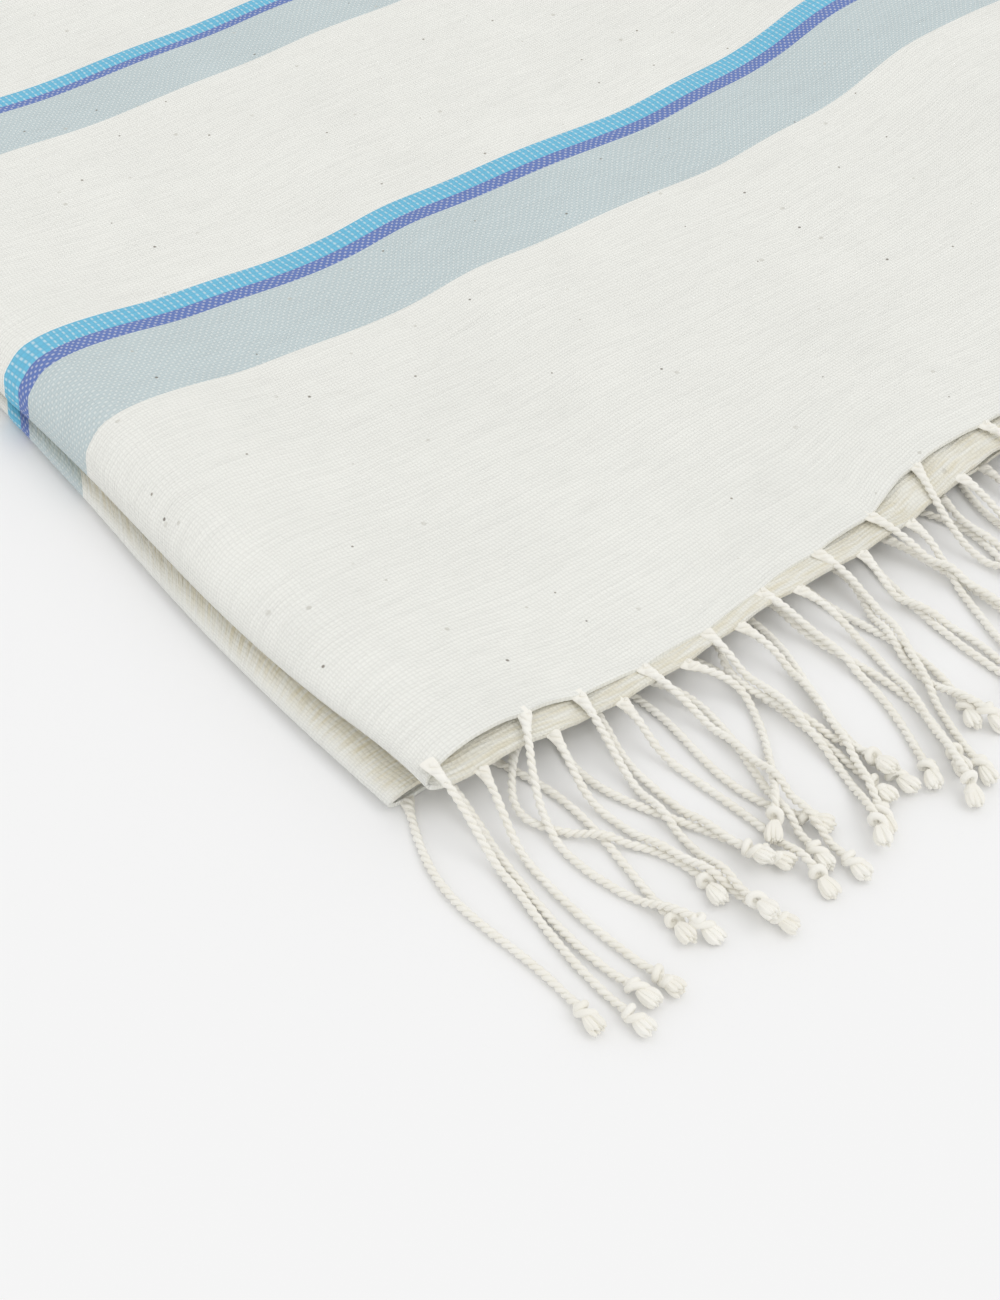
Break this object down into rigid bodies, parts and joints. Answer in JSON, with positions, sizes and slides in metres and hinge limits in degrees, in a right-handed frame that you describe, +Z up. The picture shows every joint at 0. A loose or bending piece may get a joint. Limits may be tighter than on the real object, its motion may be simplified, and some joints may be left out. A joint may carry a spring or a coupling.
{
  "type": "bath mat",
  "caption": "Flat-woven cotton bath mat with sage, indigo and turquoise stripes and a knotted cord fringe on both ends, folded in quarters; the upper half swings open on the crosswise fold.",
  "frame": {"origin": "on the floor under the middle of the folded woven cloth, fringe not counted", "axes": "+X along the hems from the lengthwise fold to the selvedges, +Y from the hems and fringe to the crosswise fold, +Z up through the pile"},
  "size_m": [0.3088, 0.52, 0.013],
  "materials": {
    "cream": "undyed hand-loomed cotton, matt, faint slubs and seed flecks",
    "sage": "pale blue-grey cotton weft over undyed warp, matt",
    "indigo": "violet-blue cotton weft flecked with undyed warp, matt",
    "turquoise": "turquoise cotton weft flecked with undyed warp, matt",
    "cord": "undyed two-ply twisted cotton cord, matt, brushed tufts"
  },
  "bodies": {
    "lower_half": {"lower_hem_field": "cream", "lower_wide_sage_band": "sage", "lower_wide_indigo_band": "indigo", "lower_wide_turquoise_band": "turquoise", "lower_middle_field": "cream", "lower_narrow_sage_band": "sage", "lower_narrow_indigo_band": "indigo", "lower_narrow_turquoise_band": "turquoise", "lower_centre_field": "cream", "floor_leaf_cords_1": "cord", "floor_leaf_cords_2": "cord", "floor_leaf_cords_3": "cord", "floor_leaf_cords_4": "cord", "floor_leaf_cords_5": "cord", "floor_leaf_cords_6": "cord", "floor_leaf_cords_7": "cord", "floor_leaf_cords_8": "cord", "floor_leaf_cords_9": "cord", "second_leaf_cords_1": "cord", "second_leaf_cords_2": "cord", "second_leaf_cords_3": "cord", "second_leaf_cords_4": "cord", "second_leaf_cords_5": "cord", "second_leaf_cords_6": "cord", "second_leaf_cords_7": "cord", "second_leaf_cords_8": "cord", "second_leaf_cords_9": "cord"},
    "upper_half": {"upper_hem_field": "cream", "upper_wide_sage_band": "sage", "upper_wide_indigo_band": "indigo", "upper_wide_turquoise_band": "turquoise", "upper_middle_field": "cream", "upper_narrow_sage_band": "sage", "upper_narrow_indigo_band": "indigo", "upper_narrow_turquoise_band": "turquoise", "upper_centre_field": "cream", "third_leaf_cords_1": "cord", "third_leaf_cords_2": "cord", "third_leaf_cords_3": "cord", "third_leaf_cords_4": "cord", "third_leaf_cords_5": "cord", "third_leaf_cords_6": "cord", "third_leaf_cords_7": "cord", "third_leaf_cords_8": "cord", "third_leaf_cords_9": "cord", "top_leaf_cords_1": "cord", "top_leaf_cords_2": "cord", "top_leaf_cords_3": "cord", "top_leaf_cords_4": "cord", "top_leaf_cords_5": "cord", "top_leaf_cords_6": "cord", "top_leaf_cords_7": "cord", "top_leaf_cords_8": "cord", "top_leaf_cords_9": "cord"}
  },
  "joints": [
    {"name": "crosswise_fold", "type": "hinge", "parent": "lower_half", "child": "upper_half", "pos_m": [0, 0.225, 0.0065], "axis": [-1, 0, 0], "range_deg": [0, 180]}
  ]
}
